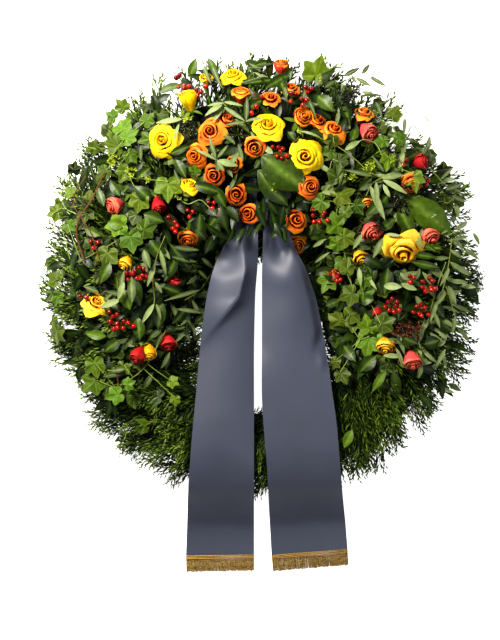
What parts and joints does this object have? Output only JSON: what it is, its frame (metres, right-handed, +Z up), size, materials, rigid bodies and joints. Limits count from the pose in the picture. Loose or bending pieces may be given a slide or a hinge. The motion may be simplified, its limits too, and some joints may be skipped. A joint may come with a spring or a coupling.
{
  "type": "memorial wreath",
  "caption": "Round memorial wreath laid on its back: foam ring bound with conifer, dressed with roses, ivy and berries, with fringed satin ribbon tails across its open middle.",
  "frame": {"origin": "middle of the footprint's bounding box, on the surface that the wreath lies on", "axes": "+Z up out of the wreath's face, +Y from its foot, where the ribbon tails end, to its flowered top, +X to the viewer's right"},
  "size_m": [0.781, 0.9418, 0.18],
  "materials": {
    "tray_plastic": "dark green moulded plastic",
    "foam": "open-cell green floral foam",
    "conifer": "matt feathery evergreen",
    "yellow_petal": "soft matt petals, golden yellow",
    "orange_petal": "soft matt petals, orange with red edges",
    "pink_petal": "soft matt petals, pink-red outside",
    "ivy_leaf": "satin leaf with paler veins",
    "olive_leaf": "matt grey-green leaf, silvery below",
    "broad_leaf": "glossy dark leaf",
    "red_berry": "glossy red skin",
    "dark_berry": "glossy blue-black skin",
    "satin": "slate-grey satin weave",
    "gold_thread": "metallic gold bullion thread",
    "wire": "plain florist wire"
  },
  "bodies": {
    "root": {"base_tray": "tray_plastic", "foam_ring": "foam", "conifer_1": "conifer", "conifer_2": "conifer", "conifer_3": "conifer", "conifer_4": "conifer", "conifer_5": "conifer", "conifer_6": "conifer", "conifer_7": "conifer", "conifer_8": "conifer", "ribbon_tail_left": "satin", "ribbon_tail_right": "satin", "gold_fringe_left": "gold_thread", "gold_fringe_right": "gold_thread", "ribbon_wire": "wire", "yellow_rose_01": "yellow_petal", "yellow_rose_02": "yellow_petal", "yellow_rose_03": "yellow_petal", "yellow_rose_04": "yellow_petal", "yellow_rose_05": "yellow_petal", "yellow_rose_06": "yellow_petal", "yellow_rose_07": "yellow_petal", "yellow_rose_08": "yellow_petal", "yellow_rose_09": "yellow_petal", "yellow_rose_10": "yellow_petal", "orange_rose_01": "orange_petal", "orange_rose_02": "orange_petal", "orange_rose_03": "orange_petal", "orange_rose_04": "orange_petal", "orange_rose_05": "orange_petal", "orange_rose_06": "orange_petal", "orange_rose_07": "orange_petal", "orange_rose_08": "orange_petal", "orange_rose_09": "orange_petal", "pink_rose_01": "pink_petal", "pink_rose_02": "pink_petal", "pink_rose_03": "pink_petal", "pink_rose_04": "pink_petal", "pink_rose_05": "pink_petal", "pink_rose_06": "pink_petal", "red_berries_1": "red_berry", "red_berries_2": "red_berry", "red_berries_3": "red_berry", "red_berries_4": "red_berry", "red_berries_5": "red_berry", "dark_berries_1": "dark_berry", "dark_berries_2": "dark_berry", "broad_leaves_1": "broad_leaf", "broad_leaves_2": "broad_leaf", "broad_leaves_3": "broad_leaf", "ivy_trail_1": "ivy_leaf", "ivy_trail_2": "ivy_leaf", "ivy_trail_3": "ivy_leaf", "ivy_trail_4": "ivy_leaf", "ivy_trail_5": "ivy_leaf", "ivy_trail_6": "ivy_leaf", "olive_sprig_1": "olive_leaf", "olive_sprig_2": "olive_leaf", "olive_sprig_3": "olive_leaf", "olive_sprig_4": "olive_leaf"}
  },
  "joints": []
}
